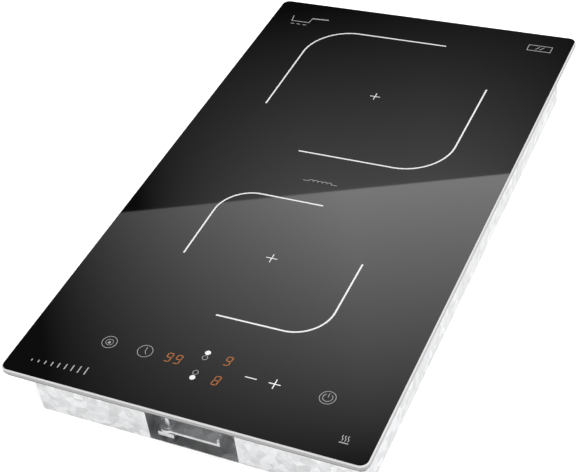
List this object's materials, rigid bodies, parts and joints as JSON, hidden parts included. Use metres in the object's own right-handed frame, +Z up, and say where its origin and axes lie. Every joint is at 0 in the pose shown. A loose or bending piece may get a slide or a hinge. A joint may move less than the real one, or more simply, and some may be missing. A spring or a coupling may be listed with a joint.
{
  "type": "built-in induction cooktop",
  "caption": "Narrow built-in electric induction cooktop: black glass plate with touch controls over a shallow steel housing with sprung coils, fan and worktop clamps.",
  "frame": {"origin": "middle of the housing's underside, at the middle of the glass plate's width and depth", "axes": "+X to the right, +Y to the back, +Z up; the controls are at the front, towards -Y"},
  "size_m": [0.288, 0.52, 0.056],
  "materials": {
    "black_glass": "polished glass-ceramic, nearly black",
    "silicone": "matte silicone",
    "foam_rubber": "matte closed-cell foam",
    "zinc_steel": "galvanised, satin",
    "sheet_aluminium": "satin",
    "zinc_screw": "bright zinc",
    "bright_steel": "polished",
    "circuit_board": "solder-resist green",
    "black_moulding": "moulded, matte",
    "yellow_film_case": "gloss",
    "blue_film_case": "gloss",
    "copper_litz": "enamelled copper wire",
    "fuse_glass": "clear",
    "lead_rubber": "silicone insulation",
    "bronze": "satin",
    "ferrite": "sintered, matte",
    "display_case": "gloss",
    "ivory_moulding": "moulded, matte",
    "mica": "satin",
    "sensor_ceramic": "matte"
  },
  "bodies": {
    "root": {"glass_plate": "black_glass", "glass_bond": "silicone", "rim_seal": "foam_rubber", "base_tray": "zinc_steel", "coil_plate": "sheet_aluminium", "plate_pillars": "zinc_screw", "plate_screws": "zinc_screw", "power_board": "circuit_board", "board_pillars": "zinc_screw", "board_screws": "zinc_screw", "heatsink": "sheet_aluminium", "power_transistors": "black_moulding", "bridge_rectifier": "black_moulding", "resonance_capacitors": "yellow_film_case", "bus_capacitor": "yellow_film_case", "filter_choke": "copper_litz", "filter_capacitors": "blue_film_case", "power_relay": "black_moulding", "mains_fuse": "fuse_glass", "coil_leads": "lead_rubber", "fan_frame": "black_moulding", "fan_bearing": "bronze", "fan_stator": "copper_litz", "fan_screws": "zinc_screw", "air_duct": "black_moulding", "control_tray": "black_moulding", "control_board": "circuit_board", "touch_springs": "bright_steel", "timer_display": "display_case", "rear_display": "display_case", "front_display": "display_case", "indicator_leds": "display_case", "buzzer": "black_moulding", "ribbon_cable": "lead_rubber", "terminal_block": "ivory_moulding", "terminal_screws": "bronze", "cable_gland": "black_moulding", "earth_screw": "bronze", "rear_coil_springs": "bright_steel", "front_coil_springs": "bright_steel"},
    "rear_coil": {"rear_coil_carrier": "black_moulding", "rear_coil_winding": "copper_litz", "rear_ferrite_bars": "ferrite", "rear_mica_sheet": "mica", "rear_heat_sensor": "sensor_ceramic"},
    "front_coil": {"front_coil_carrier": "black_moulding", "front_coil_winding": "copper_litz", "front_ferrite_bars": "ferrite", "front_mica_sheet": "mica", "front_heat_sensor": "sensor_ceramic"},
    "fan_wheel": {"fan_rotor": "black_moulding", "fan_shaft": "bright_steel", "fan_magnet": "ferrite"},
    "front_clamp_screw": {"front_clamp_screw": "zinc_screw"},
    "front_clamp_nut": {"front_clamp_nut": "zinc_screw"},
    "front_clamp_arm": {"front_clamp_arm": "zinc_steel"},
    "rear_clamp_screw": {"rear_clamp_screw": "zinc_screw"},
    "rear_clamp_nut": {"rear_clamp_nut": "zinc_screw"},
    "rear_clamp_arm": {"rear_clamp_arm": "zinc_steel"}
  },
  "joints": [
    {"name": "rear_coil_float", "type": "slide", "parent": "root", "child": "rear_coil", "axis": [0, 0, 1], "range_m": [-0.002, 0], "stiffness_N_per_m": 6000, "springref_m": 0.003, "deforming": ["rear_coil_springs"]},
    {"name": "front_coil_float", "type": "slide", "parent": "root", "child": "front_coil", "axis": [0, 0, 1], "range_m": [-0.002, 0], "stiffness_N_per_m": 6000, "springref_m": 0.003, "deforming": ["front_coil_springs"]},
    {"name": "fan_spin", "type": "hinge", "parent": "root", "child": "fan_wheel", "pos_m": [-0.072, 0.17, 0.012], "axis": [0, 0, 1], "continuous": true},
    {"name": "front_screw_turn", "type": "hinge", "parent": "root", "child": "front_clamp_screw", "pos_m": [-0.023, -0.235, 0.01], "axis": [0, 0, 1], "range_deg": [0, 9000]},
    {"name": "front_clamp_rise", "type": "slide", "parent": "root", "child": "front_clamp_nut", "axis": [0, 0, 1], "range_m": [0, 0.02]},
    {"name": "front_clamp_swing", "type": "hinge", "parent": "front_clamp_nut", "child": "front_clamp_arm", "pos_m": [-0.023, -0.235, 0.01], "axis": [0, 0, 1], "range_deg": [-90, 0]},
    {"name": "rear_screw_turn", "type": "hinge", "parent": "root", "child": "rear_clamp_screw", "pos_m": [0.023, 0.235, 0.01], "axis": [0, 0, 1], "range_deg": [0, 9000]},
    {"name": "rear_clamp_rise", "type": "slide", "parent": "root", "child": "rear_clamp_nut", "axis": [0, 0, 1], "range_m": [0, 0.02]},
    {"name": "rear_clamp_swing", "type": "hinge", "parent": "rear_clamp_nut", "child": "rear_clamp_arm", "pos_m": [0.023, 0.235, 0.01], "axis": [0, 0, 1], "range_deg": [-90, 0]}
  ],
  "couplings": [
    {"joint": "front_screw_turn", "follows": "front_clamp_rise", "rad_per_m": 7853.9},
    {"joint": "rear_screw_turn", "follows": "rear_clamp_rise", "rad_per_m": 7853.9}
  ]
}
